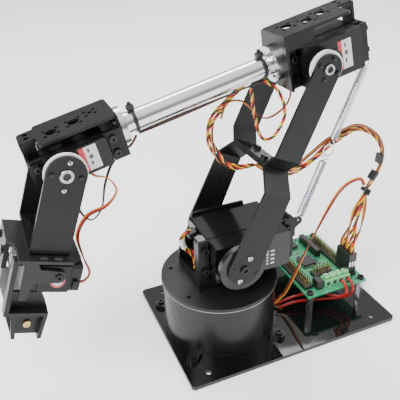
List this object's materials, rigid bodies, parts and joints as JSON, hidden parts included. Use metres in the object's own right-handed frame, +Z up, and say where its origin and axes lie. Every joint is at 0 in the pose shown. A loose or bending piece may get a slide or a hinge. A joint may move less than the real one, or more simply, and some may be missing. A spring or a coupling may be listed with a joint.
{
  "type": "articulated servo robot arm",
  "caption": "Desk-top servo robot arm on a rectangular base plate with turntable, bent-bracket upper arm, tube forearm, wrist, two-finger gripper, counter-springs and controller board.",
  "frame": {"origin": "on the turntable's rotation axis, at the underside of the base plate", "axes": "+Z up along the turntable axis, +X along the plate's long side from the turntable towards the controller board, the arm reaches towards -X at rest, +Y across the plate"},
  "size_m": [0.2997, 0.117, 0.2464],
  "materials": {
    "gloss_black_plate": "gloss",
    "satin_black_can": "satin",
    "black_anodised": "satin",
    "servo_black": "satin",
    "white_horn": "satin",
    "polished_aluminium": "polished",
    "screw_steel": "polished",
    "green_board": "gloss",
    "black_parts": "matte",
    "green_terminal": "satin",
    "grey_plate": "satin",
    "red_lead": "satin",
    "servo_lead": "satin",
    "brown_lead": "satin",
    "spring_steel": "polished"
  },
  "bodies": {
    "base": {"base_plate": "gloss_black_plate", "base_can": "satin_black_can", "can_screws": "screw_steel", "base_servo": "servo_black", "board": "green_board", "board_standoffs": "screw_steel", "board_screws": "screw_steel", "board_headers": "black_parts", "board_terminal": "green_terminal", "board_chips": "black_parts", "board_plugs": "black_parts", "power_leads": "red_lead"},
    "turntable": {"turntable_disc": "satin_black_can", "turntable_horn": "white_horn", "turntable_screws": "screw_steel", "shoulder_bracket": "black_anodised", "shoulder_servo": "servo_black", "shoulder_servo_screws": "screw_steel", "spring_anchor": "black_anodised", "lead_shoulder": "servo_lead", "lead_board": "servo_lead", "lead_base": "servo_lead", "lead_upper": "servo_lead"},
    "upper_arm": {"shoulder_horn": "black_parts", "shoulder_idler": "polished_aluminium", "lower_bracket": "black_anodised", "upper_bracket": "black_anodised", "web_screws": "screw_steel", "arm_hub_screws": "screw_steel", "elbow_horn": "white_horn", "elbow_idler": "polished_aluminium", "spring_upper": "spring_steel", "spring_lower": "spring_steel", "spring_ring": "spring_steel"},
    "forearm": {"elbow_bracket": "black_anodised", "elbow_servo": "servo_black", "forearm_servo_screws": "screw_steel", "tube_hubs": "polished_aluminium", "forearm_tube": "polished_aluminium", "hub_screws": "screw_steel", "wrist_bracket": "black_anodised", "wrist_servo": "servo_black", "tube_ties": "black_parts", "lead_tube": "black_parts", "lead_loops": "servo_lead", "lead_elbow": "servo_lead", "lead_wrist": "brown_lead"},
    "hand": {"wrist_horn": "white_horn", "wrist_idler": "polished_aluminium", "hand_bracket": "black_anodised", "wrist_hub_screws": "screw_steel", "gripper_plate": "grey_plate", "gripper_frame": "black_anodised", "gripper_servo": "servo_black", "gripper_screws": "screw_steel", "lead_gripper": "servo_lead"},
    "pinion": {"gripper_pinion": "white_horn"},
    "near_finger": {"finger_near": "black_anodised"},
    "far_finger": {"finger_far": "grey_plate"}
  },
  "joints": [
    {"name": "base_yaw", "type": "hinge", "parent": "base", "child": "turntable", "pos_m": [0, 0, 0.047], "axis": [0, 0, 1], "range_deg": [-90, 90], "deforming": ["lead_board", "lead_base"]},
    {"name": "shoulder_hinge", "type": "hinge", "parent": "turntable", "child": "upper_arm", "pos_m": [0.003, 0, 0.075], "axis": [0, 1, 0], "range_deg": [-20, 15], "deforming": ["lead_upper", "spring_lower"]},
    {"name": "elbow_hinge", "type": "hinge", "parent": "upper_arm", "child": "forearm", "pos_m": [0.06597, 0, 0.21004], "axis": [0, 1, 0], "range_deg": [-5, 45], "deforming": ["lead_elbow", "spring_upper"]},
    {"name": "wrist_hinge", "type": "hinge", "parent": "forearm", "child": "hand", "pos_m": [-0.10844, 0, 0.16977], "axis": [0, 1, 0], "range_deg": [-10, 75], "deforming": ["lead_gripper"]},
    {"name": "gripper_drive", "type": "hinge", "parent": "hand", "child": "pinion", "pos_m": [-0.14571, 0, 0.11069], "axis": [-0.9455, 0, 0.3256], "range_deg": [0, 83]},
    {"name": "near_finger_slide", "type": "slide", "parent": "hand", "child": "near_finger", "axis": [0, 1, 0], "range_m": [0, 0.0115]},
    {"name": "far_finger_slide", "type": "slide", "parent": "hand", "child": "far_finger", "axis": [0, -1, 0], "range_m": [0, 0.0115]}
  ],
  "couplings": [
    {"joint": "far_finger_slide", "follows": "near_finger_slide", "ratio": 1},
    {"joint": "gripper_drive", "follows": "near_finger_slide", "rad_per_m": 125}
  ]
}
